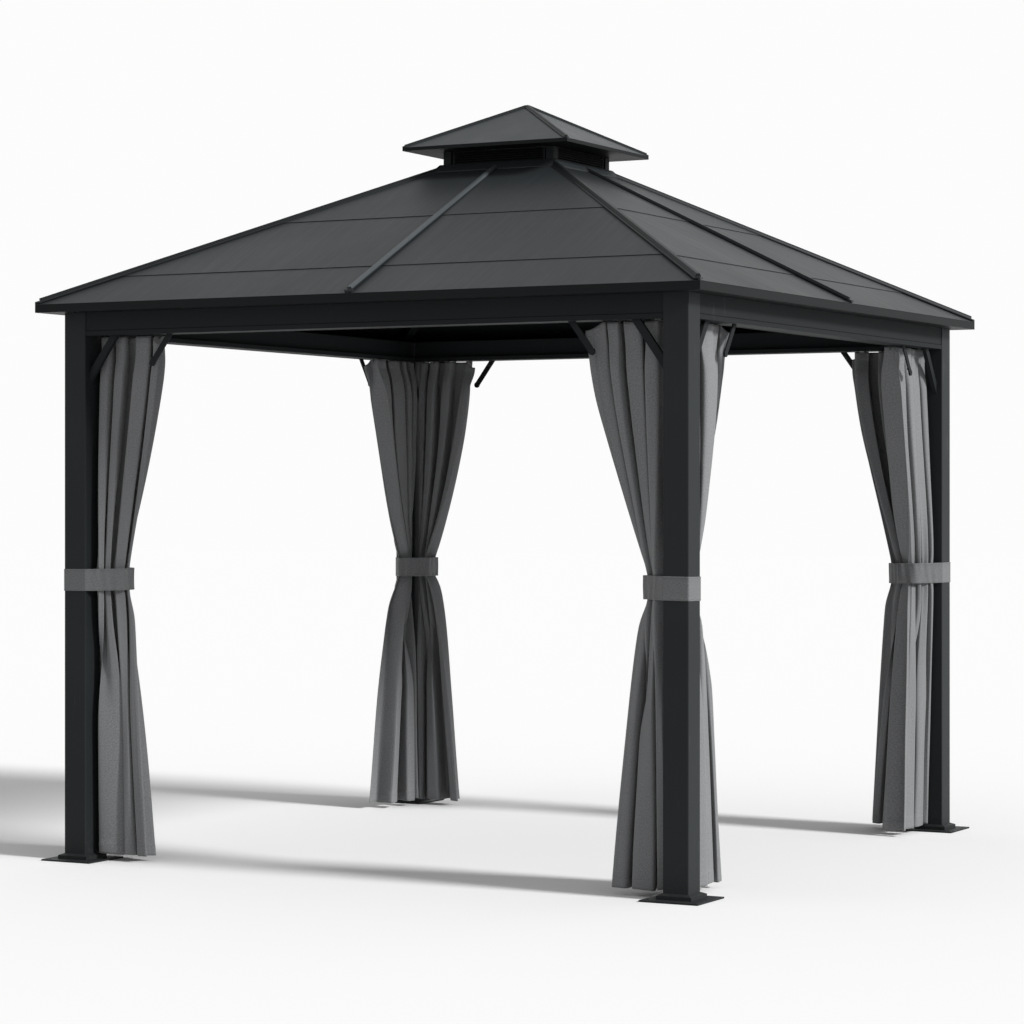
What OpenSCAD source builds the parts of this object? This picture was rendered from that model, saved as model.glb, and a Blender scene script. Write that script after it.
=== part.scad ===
// Square hardtop garden gazebo with a vented lantern roof and eight tied-back curtains.
// Millimetres, +Z up, origin on the ground under the middle of the roof, front towards -Y.

/* [Plan and heights] */
// Length of each side of the main roof, over the fascias
roof_span = 3000; // [2500:10:4000]
// Ground to the underside of the eave
eave_z = 2255; // [1900:5:2800]
// How far the fascia stands out past the post faces
eave_overhang = 86; // [70:1:200]

/* [Posts and feet] */
// Width of a square post
post_w = 105; // [80:1:140]
// Wall of a post
post_wall = 2.5; // [1.5:0.5:4]
// Radius along the corners of a post
post_r = 4; // [2:0.5:8]
// Width of a square base plate
plate_w = 240; // [215:1:320]
// Thickness of a base plate
plate_t = 6; // [4:0.5:12]
// Distance between the anchor holes, both ways
anchor_spacing = 190; // [175:1:190]
// Diameter of an anchor hole
anchor_d = 13; // [8:0.5:16]
// How far the foot collar stands out from the post
collar_out = 19; // [8:1:19]
// Height of the foot collar
collar_h = 22; // [12:1:40]

/* [Beams and curtain tracks] */
// Height of a beam
beam_h = 74; // [60:1:120]
// Depth of a beam, outside to inside
beam_d = 80; // [50:1:90]
// Wall of a beam
beam_wall = 2.5; // [1.5:0.5:4]
// How far a beam face sits back from the post faces
beam_recess = 4; // [1:0.5:8]
// Height of the rail under a beam
rail_h = 18; // [16:1:30]
// Height of the shadow groove between beam and rail
groove_h = 2.5; // [1:0.5:5]
// Width of the channel that the curtain gliders run in
channel_w = 28; // [24:1:40]

/* [Knee braces and curtain arms] */
// Face width of a knee brace
brace_w = 30; // [20:1:40]
// Thickness of a knee brace
brace_t = 18; // [8:1:24]
// Post to the top end of a knee brace
brace_reach = 125; // [90:1:200]
// Track to the low end of a knee brace
brace_drop = 175; // [120:1:240]
// Face width of a curtain arm
arm_w = 24; // [16:1:30]
// Thickness of a curtain arm
arm_t = 6; // [4:0.5:10]
// Thickness of the rounded low end of a curtain arm
arm_end_t = 8; // [5:0.5:14]
// Diameter of the rounded low end of a curtain arm
arm_end_d = 27; // [20:1:36]
// Post to the top end of a curtain arm
arm_reach = 395; // [360:1:480]
// Sideways run of a curtain arm towards the post
arm_run = 85; // [60:1:110]
// Track to the rounded low end of a curtain arm
arm_drop = 130; // [90:1:180]

/* [Main roof] */
// Height of the fascia
fascia_h = 34; // [28:1:60]
// Thickness of the fascia and its soffit leg
fascia_t = 3; // [2:0.5:4]
// Pitch of the main roof in degrees
roof_pitch = 26.2; // [20:0.1:32]
// Thickness of a roof sheet
sheet_t = 2; // [1:0.5:3]
// Rise of each row of sheets over the row below
lap_step = 2.5; // [2:0.5:4]
// Overlap of two rows
lap = 30; // [28:1:50]
// Slope length of the lowest row of sheets
low_row = 275; // [200:5:400]
// Slope length of the middle row of sheets
middle_row = 537; // [350:1:560]
// Width of a cap strip over a hip
hip_cap_w = 36; // [28:1:50]
// Width of the cap strip up the middle of a roof face
rib_cap_w = 28; // [24:1:40]
// Thickness of a cap strip
cap_t = 4; // [3:0.5:6]
// Width of a rafter
rafter_w = 40; // [30:1:50]
// Depth of a hip rafter
hip_rafter_d = 60; // [50:1:70]
// Depth of a middle rafter
mid_rafter_d = 40; // [36:1:50]
// Depth of a rail under a lap
lap_rail_d = 20; // [12:1:24]

/* [Lantern and top roof] */
// Width of the lantern over its corner posts
lantern_w = 530; // [440:5:640]
// Main roof to the underside of the top eave
lantern_h = 76; // [70:1:120]
// Width of a lantern corner post
lantern_post_w = 36; // [28:1:45]
// Height of the curb that stands above the roof sheets
curb_h = 20; // [14:1:20]
// Number of louvre slats in each side of the lantern
slats = 6; // [4:1:7]
// Clear gap beside a louvre panel
louvre_gap = 7; // [3:0.5:12]
// Length of each side of the top roof
top_span = 788; // [700:2:900]
// Height of the top fascia
top_fascia_h = 15; // [12:1:24]
// Pitch of the top roof in degrees
top_pitch = 26.5; // [20:0.1:32]
// Width of a cap strip on the top roof
top_cap_w = 26; // [20:1:36]

/* [Curtains and tie bands] */
// Width of a front or back curtain gathered on its track
front_gather = 345; // [300:5:450]
// Width of a side curtain gathered on its track
side_gather = 480; // [300:5:520]
// Width of a front or back curtain at its hem
front_spread = 255; // [200:5:400]
// Width of a side curtain at its hem
side_spread = 345; // [200:5:400]
// Depth of the folds across a curtain
fold_depth = 85; // [60:1:90]
// Ground to the hem
hem_z = 32; // [30:1:60]
// How far the tied cloth reaches past the post
bundle_reach = 119; // [110:1:150]
// Middle height of a tie band
band_z = 1157; // [900:1:1400]
// Height of a tie band
band_h = 94; // [60:1:120]
// Thickness of a tie band
band_t = 2.5; // [1.5:0.5:4]

/* [Hidden] */
// One name for each corner and each side, used by every set of four
CORNERS = ["front_left", "front_right", "back_right", "back_left"];
SIDES = ["front", "right", "back", "left"];
CURTAIN_SIDE = ["front", "front", "back", "back"];

// Clearance between pieces that seat on each other
seat = 0.3;
// Clearance between cloth and what it hangs beside
cloth_gap = 0.5;
// Clearance under the edge of a roof sheet
sheet_gap = 0.5;
// Longer than any cut has to reach, and how far a short cut runs past a face
far = 5000;
past = 1;

// Plan: half widths measured from the middle of the gazebo
half_roof = roof_span / 2;
half_post = half_roof - eave_overhang;
half_inside = half_post - post_w;
half_lantern = lantern_w / 2;
half_top = top_span / 2;

// Heights
rail_z = eave_z - beam_h - rail_h - groove_h;
roof_z = eave_z + fascia_h;
lantern_z = roof_z + (half_roof - half_lantern) * tan(roof_pitch);
top_eave_z = lantern_z + lantern_h;
top_roof_z = top_eave_z + top_fascia_h;

// Slope length of a main roof face, and the angles of its hips
slope_len = (half_roof - half_lantern) / cos(roof_pitch);
function hip_angle(pitch) = atan(tan(pitch) / sqrt(2));
function hip_fall(pitch) = tan(hip_angle(pitch)) * cos(hip_angle(pitch));

// Where each row of sheets begins up the slope
row_start = [0, low_row, low_row + middle_row];
// Sheets stop this far short of a hip line and of a rib
hip_inset = 8;
rib_inset = 6;
// Height of the cap strips' undersides over the lowest row
cap_lift = 2 * lap_step + 2 * seat;
top_cap_lift = 0.5;
// Half width of the stem under a cap strip
stem = 4;

// Curb of the lantern: how far it reaches down, its wall, and the ledge that covers the sheets' ends
curb_drop = 72;
curb_wall = 30;
curb_ledge = 10;
ledge_z = lantern_z + cap_lift + cap_t / 2;
// Ring on top of the lantern's corner posts
ring_h = 22;
ring_z = top_eave_z + fascia_t + seat;

// Outer post face to the middle of the braces and curtain arms
brace_line = 35;
// Outer post face to the outermost folds of a curtain, which hangs under its track's gliders
hang_line = beam_recess + beam_d + channel_w / 2 - 28;

// Frame of a corner: +X and +Y run inwards from the outer edge of a half width
module corner(i, half) {
    right = (i == 1 || i == 2) ? 1 : 0;
    back = (i >= 2) ? 1 : 0;
    translate([(2 * right - 1) * half, (2 * back - 1) * half, 0])
        mirror([right, 0, 0])
            mirror([0, back, 0])
                children();
}

// Swap the two directions of a corner frame
module other_side() {
    mirror([1, -1, 0]) children();
}

// Turn a piece that is drawn on the front side round to side i
module side(i) {
    rotate([0, 0, 90 * i]) children();
}

// Slope frame of the front face: +Y up the slope, +Z out of the sheets
module slope(half, z, pitch) {
    translate([0, -half, z]) rotate([pitch, 0, 0]) children();
}

// Hip frame of corner i: +X up the hip line, +Z square to it
module hip(i, half, z, pitch) {
    corner(i, half)
        translate([0, 0, z])
            rotate([0, 0, 45])
                rotate([0, -hip_angle(pitch), 0])
                    children();
}

// A profile in the Y-Z plane drawn out along +X
module along_x(length) {
    rotate([90, 0, 90]) linear_extrude(length) children();
}

module block(half, z0, z1) {
    translate([-half, -half, z0]) cube([2 * half, 2 * half, z1 - z0]);
}

module rounded_square(w, r) {
    translate([r, 0]) square([w - 2 * r, w]);
    translate([0, r]) square([w, w - 2 * r]);
    for (x = [r, w - r], y = [r, w - r])
        translate([x, y]) circle(r, $fn = 48);
}

// Keeps the quarter of a ring that belongs to the front, with mitred ends
module front_quarter() {
    intersection() {
        children();
        translate([0, -seat, -far])
            linear_extrude(2 * far)
                polygon([[0, 0], [-far, -far], [far, -far]]);
    }
}

// ---- Posts and feet ----

module post(i) {
    color("#2b2e30")
        corner(i, half_post)
            translate([0, 0, plate_t])
                linear_extrude(eave_z - plate_t - seat)
                    difference() {
                        rounded_square(post_w, post_r);
                        translate([post_wall, post_wall])
                            rounded_square(post_w - 2 * post_wall, post_r - post_wall / 2);
                    }
}

// The collar's top is bevelled: its profile is turned round the four sides of the post
module collar() {
    half_in = post_w / 2 + seat;
    half_out = post_w / 2 + collar_out;
    bevel = collar_h / 3;
    intersection_for (turn = [0, 90])
        rotate([0, 0, turn])
            translate([-half_out, 0, 0])
                along_x(2 * half_out)
                    polygon([
                        [-half_out, 0], [half_out, 0], [half_out, collar_h - bevel],
                        [half_in, collar_h], [-half_in, collar_h], [-half_out, collar_h - bevel]
                    ]);
}

module foot(i) {
    color("#232628")
        corner(i, half_post)
            translate([post_w / 2, post_w / 2, 0]) {
                difference() {
                    translate([-plate_w / 2, -plate_w / 2, 0]) cube([plate_w, plate_w, plate_t]);
                    for (x = [-1, 1], y = [-1, 1])
                        translate([x * anchor_spacing / 2, y * anchor_spacing / 2, -past])
                            cylinder(h = plate_t + 2 * past, d = anchor_d, $fn = 48);
                }
                translate([0, 0, plate_t])
                    difference() {
                        collar();
                        translate([0, 0, -past])
                            linear_extrude(collar_h + 2 * past)
                                square(post_w + 2 * seat, center = true);
                    }
            }
}

// ---- Beams, curtain tracks and braces ----

module beam(i) {
    length = 2 * (half_inside - cloth_gap);
    color("#26292b")
        side(i)
            translate([-length / 2, -half_post + beam_recess, eave_z - seat - beam_h])
                along_x(length)
                    difference() {
                        square([beam_d, beam_h]);
                        translate([beam_wall, beam_wall])
                            square([beam_d - 2 * beam_wall, beam_h - 2 * beam_wall]);
                    }
}

// Rail under the beam, with the gliders' channel along its inner edge
module curtain_track(i) {
    length = 2 * (half_inside - cloth_gap);
    rail_recess = 2;
    neck = 4;
    slot_w = 8;
    lip = 3;
    wall = 3;
    full = beam_d + channel_w;
    slot_mid = beam_d + channel_w / 2;
    color("#2b2e30")
        side(i) front_quarter()
            translate([-length / 2, -half_post + beam_recess, rail_z])
                along_x(length)
                    difference() {
                        union() {
                            translate([-rail_recess, 0]) square([full + rail_recess, rail_h]);
                            translate([neck, 0]) square([beam_d - neck, rail_h + groove_h - seat]);
                        }
                        translate([slot_mid - slot_w / 2, -past]) square([slot_w, rail_h - wall]);
                        translate([beam_d + wall, lip])
                            square([channel_w - 2 * wall, rail_h - lip - wall]);
                    }
}

// A flat bar from low point to high point in a corner's X-Z plane
module bar(low, high, w, t) {
    run = high - low;
    translate([low[0], 0, low[1]])
        rotate([0, -atan2(run[1], run[0]), 0])
            translate([0, -t / 2, -w / 2])
                cube([norm(run), t, w]);
}

module under_track() {
    intersection() {
        children();
        translate([post_w + seat, -far / 2, 0]) cube([far, far, rail_z - seat]);
    }
}

module knee_brace() {
    low = [post_w, rail_z - brace_drop];
    high = [post_w + brace_reach, rail_z];
    spare = brace_w * (high - low) / norm(high - low);
    translate([0, brace_line, 0])
        under_track() bar(low - spare, high + spare, brace_w, brace_t);
}

module curtain_arm() {
    low = [post_w + arm_reach - arm_run, rail_z - arm_drop + arm_end_d / 2];
    high = [post_w + arm_reach, rail_z];
    spare = arm_w * (high - low) / norm(high - low);
    translate([0, brace_line, 0])
        under_track() {
            bar(low, high + spare, arm_w, arm_t);
            translate([low[0], arm_end_t / 2, low[1]])
                rotate([90, 0, 0]) cylinder(h = arm_end_t, d = arm_end_d, $fn = 48);
        }
}

module braces(i) {
    color("#1f2224")
        corner(i, half_post) {
            knee_brace();
            curtain_arm();
            other_side() knee_brace();
            other_side() curtain_arm();
        }
}

// ---- Main roof ----

// Folded eave: an upright face, and a soffit leg that sits on the posts and beams
module eave(half, z, h, inner_half) {
    top = h - sheet_t - sheet_gap;
    for (i = [0:3])
        side(i)
            front_quarter()
                translate([-half, -half, z])
                    along_x(2 * half)
                        union() {
                            square([fascia_t, top]);
                            square([half - inner_half, fascia_t]);
                        }
}

module fascia() {
    color("#24282a")
        eave(half_roof, eave_z, fascia_h, half_post - beam_recess - beam_d);
}

// Half width of a face at a slope distance v
function face_half(v) = half_roof - v * cos(roof_pitch);

module roof_face(i) {
    row_end = [row_start[1] + lap, row_start[2] + lap, slope_len - cloth_gap];
    color("#494d50")
        side(i)
            slope(half_roof, roof_z, roof_pitch)
                for (row = [0:2], hand = [0, 1])
                    mirror([hand, 0, 0])
                        translate([0, 0, row * lap_step - sheet_t])
                            linear_extrude(sheet_t)
                                polygon([
                                    [rib_inset, row_start[row]],
                                    [face_half(row_start[row]) - hip_inset, row_start[row]],
                                    [face_half(row_end[row]) - hip_inset, row_end[row]],
                                    [rib_inset, row_end[row]]
                                ]);
}

// Section of a cap strip: wings over the sheets, and a stem down between them
module cap_section(w, lift, fall) {
    polygon([
        [-w / 2, lift - fall * w / 2], [-w / 2, lift + cap_t - fall * w / 2],
        [0, lift + cap_t], [w / 2, lift + cap_t - fall * w / 2], [w / 2, lift - fall * w / 2],
        [stem, lift - fall * stem], [stem, -sheet_t - fall * stem],
        [0, -sheet_t], [-stem, -sheet_t - fall * stem], [-stem, lift - fall * stem]
    ]);
}

module hip_caps(half, z, pitch, w, lift, inner_half) {
    for (i = [0:3])
        intersection() {
            hip(i, half, z, pitch)
                translate([-w, 0, 0])
                    along_x(2 * half)
                        cap_section(w, lift, hip_fall(pitch));
            corner(i, half) cube([half - inner_half, half - inner_half, far]);
        }
}

// Each rib ends in a small block at the eave
module rib_caps() {
    length = slope_len - curb_ledge - stem;
    end_w = rib_cap_w + 4;
    end_l = 14;
    end_h = cap_lift + cap_t + 2;
    end_start = 6;
    for (i = [0:3])
        side(i)
            slope(half_roof, roof_z, roof_pitch) {
                translate([0, length, 0])
                    rotate([90, 0, 0])
                        linear_extrude(length)
                            cap_section(rib_cap_w, cap_lift, 0);
                translate([-end_w / 2, end_start, seat]) cube([end_w, end_l, end_h]);
            }
}

module roof_caps() {
    color("#33373a") {
        hip_caps(half_roof, roof_z, roof_pitch, hip_cap_w, cap_lift, half_lantern + curb_ledge + seat);
        rib_caps();
        hip_caps(half_top, top_roof_z, top_pitch, top_cap_w, top_cap_lift, seat);
    }
}

module rafter_section(w, d, fall) {
    drop = sheet_t + 2 * seat;
    polygon([
        [0, -drop], [w / 2, -drop - fall * w / 2], [w / 2, -d],
        [-w / 2, -d], [-w / 2, -drop - fall * w / 2]
    ]);
}

module rafters() {
    color("#2b2e30")
        intersection() {
            difference() {
                block(half_roof - fascia_t - seat, eave_z + fascia_t + seat, top_eave_z);
                block(half_lantern + seat, 0, far);
            }
            union() {
                for (i = [0:3])
                    hip(i, half_roof, roof_z, roof_pitch)
                        along_x(2 * half_roof)
                            rafter_section(rafter_w, hip_rafter_d, hip_fall(roof_pitch));
                for (i = [0:3])
                    side(i)
                        slope(half_roof, roof_z, roof_pitch)
                            translate([-rafter_w / 2, 0, -mid_rafter_d])
                                cube([rafter_w, slope_len, mid_rafter_d - sheet_t - seat]);
            }
        }
}

// Rails under the two laps of each face, between the middle rafter and the hips
module lap_rails() {
    rail_w = 23;
    start = rafter_w / 2 + seat;
    hip_room = rafter_w / sqrt(2) + lap_rail_d * sin(roof_pitch) + 1;
    function low(row) = row_start[row] + 2;
    function high(row) = low(row) + rail_w;
    color("#2b2e30")
        for (i = [0:3], row = [1, 2], hand = [0, 1])
            side(i)
                slope(half_roof, roof_z, roof_pitch)
                    mirror([hand, 0, 0])
                        translate([0, 0, (row - 1) * lap_step - sheet_t - seat - lap_rail_d])
                            linear_extrude(lap_rail_d)
                                polygon([
                                    [start, low(row)], [face_half(low(row)) - hip_room, low(row)],
                                    [face_half(high(row)) - hip_room, high(row)], [start, high(row)]
                                ]);
}

// ---- Lantern and top roof ----

// Welded frame: a curb through the roof, four corner posts and a ring under the top roof
module lantern_frame() {
    color("#1d2022")
        difference() {
            union() {
                block(half_lantern, lantern_z - curb_drop, lantern_z + curb_h);
                block(half_lantern + curb_ledge, ledge_z, lantern_z + curb_h);
                for (i = [0:3])
                    corner(i, half_lantern)
                        translate([0, 0, lantern_z])
                            cube([lantern_post_w, lantern_post_w, ring_z + ring_h - lantern_z]);
                block(half_lantern, ring_z, ring_z + ring_h);
            }
            block(half_lantern - curb_wall, 0, far);
        }
}

// Each side is a panel of sloping slats between two stiles
module lantern_louvres() {
    panel_w = 2 * (half_lantern - lantern_post_w - louvre_gap);
    panel_z = lantern_z + curb_h + seat;
    panel_h = top_eave_z - seat - panel_z;
    stile_w = 10;
    depth = 20;
    pitch = panel_h / slats;
    slat_t = 1.6;
    slat_tilt = 35;
    slat_w = min(depth / cos(slat_tilt), 22) + slat_t;
    color("#15181a")
        for (i = [0:3])
            side(i)
                translate([-panel_w / 2, -half_lantern + curb_ledge / 2, panel_z]) {
                    for (x = [0, panel_w - stile_w])
                        translate([x, 0, 0]) cube([stile_w, depth, panel_h]);
                    intersection() {
                        cube([panel_w, depth, panel_h]);
                        for (n = [0:slats])
                            translate([stile_w / 2, 0, (n - 0.5) * pitch])
                                rotate([slat_tilt, 0, 0])
                                    cube([panel_w - stile_w, slat_w, slat_t]);
                    }
                }
}

module top_fascia() {
    color("#24282a")
        eave(half_top, top_eave_z, top_fascia_h, half_lantern + seat);
}

// Four small rafters on the lantern's ring, welded to a block under the peak
module top_rafters() {
    w = 24;
    d = 26;
    peak_z = top_roof_z + half_top * tan(top_pitch);
    block_top = peak_z - 25;
    block_h = 35;
    color("#2b2e30")
        intersection() {
            block(half_top - fascia_t - seat, ring_z + ring_h + seat, peak_z);
            union() {
                for (i = [0:3])
                    hip(i, half_top, top_roof_z, top_pitch)
                        along_x(half_top * sqrt(2) / cos(hip_angle(top_pitch)) - w / 2)
                            rafter_section(w, d, hip_fall(top_pitch));
                block(w, block_top - block_h, block_top);
            }
        }
}

module top_roof() {
    color("#4d5154")
        for (i = [0:3])
            side(i)
                slope(half_top, top_roof_z, top_pitch)
                    translate([0, 0, -sheet_t])
                        linear_extrude(sheet_t)
                            polygon([
                                [hip_inset - half_top, 0],
                                [half_top - hip_inset, 0],
                                [0, (half_top - hip_inset) / cos(top_pitch)]
                            ]);
}

// ---- Curtains and tie bands ----

// Outline of the tied cloth and post, in the corner frame, seen from above
shoulder = post_w - 21;
bundle = post_w + bundle_reach;
bundle_cut = 50;
band_line = [
    [-seat, -seat], [post_w, -seat], [bundle, shoulder], [bundle, bundle - bundle_cut],
    [bundle - bundle_cut, bundle], [shoulder, bundle], [-seat, post_w]
];

// One curtain's half of the tied cloth, a little inside the band
slack = 1;
diagonal_end = bundle - bundle_cut / 2 - slack;
waist_line = [
    [post_w + cloth_gap, slack], [bundle - slack, shoulder + slack],
    [bundle - slack, bundle - bundle_cut - slack],
    [diagonal_end + cloth_gap, diagonal_end - cloth_gap],
    [post_w + cloth_gap, post_w - cloth_gap]
];

module waist(z, h) {
    translate([0, 0, z]) linear_extrude(h) polygon(waist_line);
}

// A flat slice of hanging cloth, kept to its own side of the post and of the corner's diagonal
module curtain_slice(z, h, near, width, depth) {
    g = cloth_gap;
    translate([0, 0, z])
        linear_extrude(h)
            intersection() {
                polygon([[post_w + g, -far], [far, -far], [far, far - 2 * g], [post_w + g, post_w - g]]);
                translate([post_w, near]) square([width, depth]);
            }
}

// Wide at the track, narrow inside the tie band, and spread again towards the hem
module curtain(gather, spread) {
    slice_h = 1;
    top_z = rail_z - seat - slice_h;
    waist_z = band_z - band_h / 2;
    hem_out = 15;
    hem_in = 20;
    color("#5d5f61") {
        hull() {
            curtain_slice(top_z, slice_h, hang_line, gather, fold_depth);
            waist(waist_z + band_h, slice_h);
        }
        waist(waist_z, band_h + slice_h);
        hull() {
            waist(waist_z, slice_h);
            curtain_slice(hem_z, slice_h, hang_line - hem_out, spread, fold_depth + hem_out + hem_in);
        }
    }
}

module front_curtain(i) {
    corner(i, half_post) curtain(front_gather, front_spread);
}

module side_curtain(i) {
    corner(i, half_post) other_side() curtain(side_gather, side_spread);
}

module tie_band(i) {
    color("#6a6c6e")
        corner(i, half_post)
            translate([0, 0, band_z - band_h / 2])
                linear_extrude(band_h)
                    difference() {
                        offset(delta = band_t) polygon(band_line);
                        polygon(band_line);
                    }
}

// ---- Nodes ----

for (i = [0:3]) {
    post(i);
    foot(i);
    beam(i);
    curtain_track(i);
    braces(i);
    roof_face(i);
    front_curtain(i);
    side_curtain(i);
    tie_band(i);
}
fascia();
rafters();
lap_rails();
roof_caps();
lantern_frame();
lantern_louvres();
top_fascia();
top_rafters();
top_roof();
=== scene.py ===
from math import atan, ceil, cos, pi, radians, sin, sqrt, tan

import bpy
import numpy as np
from mathutils import Matrix, Vector


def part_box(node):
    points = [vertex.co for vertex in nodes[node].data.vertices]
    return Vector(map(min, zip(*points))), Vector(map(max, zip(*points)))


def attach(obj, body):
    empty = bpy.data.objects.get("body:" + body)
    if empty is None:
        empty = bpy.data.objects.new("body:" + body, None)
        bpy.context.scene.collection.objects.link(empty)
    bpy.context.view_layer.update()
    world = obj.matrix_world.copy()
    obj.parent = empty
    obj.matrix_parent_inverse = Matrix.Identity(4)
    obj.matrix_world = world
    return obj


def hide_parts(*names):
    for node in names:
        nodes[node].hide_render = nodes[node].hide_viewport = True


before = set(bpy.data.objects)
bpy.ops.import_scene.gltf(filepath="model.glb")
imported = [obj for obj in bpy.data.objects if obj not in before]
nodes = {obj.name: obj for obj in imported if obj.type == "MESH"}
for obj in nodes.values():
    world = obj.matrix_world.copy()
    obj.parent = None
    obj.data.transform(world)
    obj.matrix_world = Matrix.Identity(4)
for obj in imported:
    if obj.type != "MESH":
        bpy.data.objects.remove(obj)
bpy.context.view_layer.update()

# ---- Camera ----
# A level view from head height, a long way off the front right corner, with a long lens.

camera = bpy.data.cameras.new("camera")
camera.lens = 106.6
camera.sensor_width = 36.0
camera.shift_y = -0.0137
viewer = bpy.data.objects.new("camera", camera)
viewer.location = (6.084, -11.601, 1.493)
viewer.rotation_euler = (pi / 2, 0, radians(27.9588))
bpy.context.scene.collection.objects.link(viewer)
bpy.context.scene.camera = viewer

# ---- Posts and feet ----
# Four square aluminium extrusions on base plates, each with a bevelled collar that hides the joint.
# All of it has the same dark powder coat, baked on, with a fine grain and a slight orange peel.

CORNERS = {"front_left": (-1, -1), "front_right": (1, -1), "back_right": (1, 1), "back_left": (-1, 1)}
SIDES = ("front", "right", "back", "left")


class Shade:
    """One output in a finish's nodes. Python sums on it add Math nodes."""

    def __init__(self, finish, socket):
        self.finish = finish
        self.socket = socket

    def math(self, operation, *values):
        return self.finish.node("ShaderNodeMath", {"operation": operation}, *values)

    def __add__(self, other):
        return self.math("ADD", self, other)

    def __sub__(self, other):
        return self.math("SUBTRACT", self, other)

    def __rsub__(self, other):
        return self.math("SUBTRACT", other, self)

    def __mul__(self, other):
        return self.math("MULTIPLY", self, other)

    def __truediv__(self, other):
        return self.math("DIVIDE", self, other)

    def __abs__(self):
        return self.math("ABSOLUTE", self)

    __radd__ = __add__
    __rmul__ = __mul__

    def sine(self):
        return self.math("SINE", self)

    def larger(self, other):
        return self.math("MAXIMUM", self, other)

    def rise(self, low, high):
        """0 below low, 1 above high, and smooth between them."""
        return self.finish.node(
            "ShaderNodeMapRange", {"interpolation_type": "SMOOTHSTEP"}, self, low, high, 0.0, 1.0
        )


class Finish:
    """One material: a Principled shader and the nodes that vary it over a surface."""

    def __init__(self, name, **constants):
        self.material = bpy.data.materials.new(name)
        self.material.use_nodes = True
        self.tree = self.material.node_tree
        self.shader = self.tree.nodes["Principled BSDF"]
        for socket, value in constants.items():
            self.shader.inputs[socket.replace("_", " ")].default_value = value
        self.place = self.node("ShaderNodeTexCoord", output="Object")

    def node(self, kind, settings=None, *values, output=0, **sockets):
        made = self.tree.nodes.new(kind)
        for setting, value in (settings or {}).items():
            setattr(made, setting, value)
        for key, value in [*enumerate(values), *sockets.items()]:
            if isinstance(value, Shade):
                self.tree.links.new(value.socket, made.inputs[key])
            elif value is not None:
                made.inputs[key].default_value = value
        return Shade(self, made.outputs[output])

    def part(self, vector, axis):
        return self.node("ShaderNodeSeparateXYZ", None, vector, output=axis)

    def stretched(self, vector, scales):
        return self.node("ShaderNodeVectorMath", {"operation": "MULTIPLY"}, vector, scales)

    def noise(self, scale, detail=2.0, place=None):
        return self.node("ShaderNodeTexNoise", None, place or self.place, None, scale, detail)

    def mix(self, factor, low, high):
        numbers_and_vectors = [None] * 5
        return self.node(
            "ShaderNodeMix", {"data_type": "RGBA"}, factor, *numbers_and_vectors, low, high, output=2
        )

    def feed(self, **sockets):
        for key, value in sockets.items():
            self.tree.links.new(value.socket, self.shader.inputs[key.replace("_", " ")])

    def bump(self, height, strength, distance):
        self.feed(Normal=self.node("ShaderNodeBump", None, strength, distance, Height=height))


def grey(level, tint=(0.0, 0.0, 0.0)):
    return tuple(level * (1 + t) for t in tint) + (1.0,)


COOL = (-0.10, 0.02, 0.09)
DUST = (0.10, 0.02, -0.10)


def powder_coat(name, level, roughness=0.5, shine=0.09, dusty=0.0, worn=0.0):
    """A baked coat. level is its lightness, from 0 to 1, and shine is how strongly it reflects.

    dusty is the height that splashed dust reaches, and worn is how much its rubbed streaks show.
    """
    coat = Finish(name, Specular_IOR_Level=shine)
    cloud = coat.noise(1.7, 3.0)
    speck = coat.noise(420.0, 1.0)
    peel = coat.noise(160.0, 2.0)
    tone = coat.mix(cloud.rise(0.25, 0.75), grey(level * 0.90, COOL), grey(level * 1.10, COOL))
    tone = coat.mix(speck.rise(0.55, 0.75) * 0.5, tone, grey(level * 1.45, COOL))
    rough = roughness + (cloud - 0.5) * 0.14 + (speck - 0.5) * 0.10
    if dusty:
        height = coat.part(coat.place, 2)
        spots = coat.noise(70.0, 4.0)
        dust = (1.0 - height.rise(0.0, dusty)) * spots.rise(0.42, 0.72)
        tone = coat.mix(dust * 0.30, tone, grey(level * 2.2, DUST))
        rough = rough + dust * 0.25
    if worn:
        scuff = coat.noise(1.0, 3.0, coat.stretched(coat.place, (60, 60, 6)))
        rub = scuff.rise(0.62, 0.72) * coat.noise(3.1, 2.0).rise(0.50, 0.62)
        tone = coat.mix(rub * worn, tone, grey(level * 2.0, COOL))
        rough = rough - rub * 0.12
    coat.feed(Base_Color=tone, Roughness=rough)
    coat.bump(speck * 0.6 + peel, 0.30, 0.0004)
    return coat.material


def paint(material, *names):
    """Give CAD nodes their finish through their own material slots."""
    for name in names:
        for slot in nodes[name].material_slots:
            slot.material = material


post_coat = powder_coat("post_powder_coat", 0.021, dusty=0.25, worn=0.30)
paint(post_coat, *(f"{part}_{corner}" for part in ("post", "foot") for corner in CORNERS))

# ---- Beams, curtain tracks and braces ----
# Hollow aluminium beams join the posts, with a grooved track for the curtains below each, and at every
# corner a knee brace and a curtain arm on each side. Their coat is darker than the posts', which is
# painted shade from the eave and roof above them.

# Painted shade: this coat is darker than the posts' to stand in for the shade of the eave and roof.
frame_coat = powder_coat("frame_powder_coat_painted_shade", 0.016, 0.66, worn=0.25)
paint(frame_coat, *(f"{part}_{side}" for part in ("beam", "curtain_track") for side in SIDES))
paint(frame_coat, *(f"braces_{corner}" for corner in CORNERS))

# ---- Main roof ----
# Galvanised steel sheets, painted before they are bent, are lapped in three rows over rafters and rails.
# Caps cover the hips and the middle joints, and a folded fascia closes the eaves.


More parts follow.
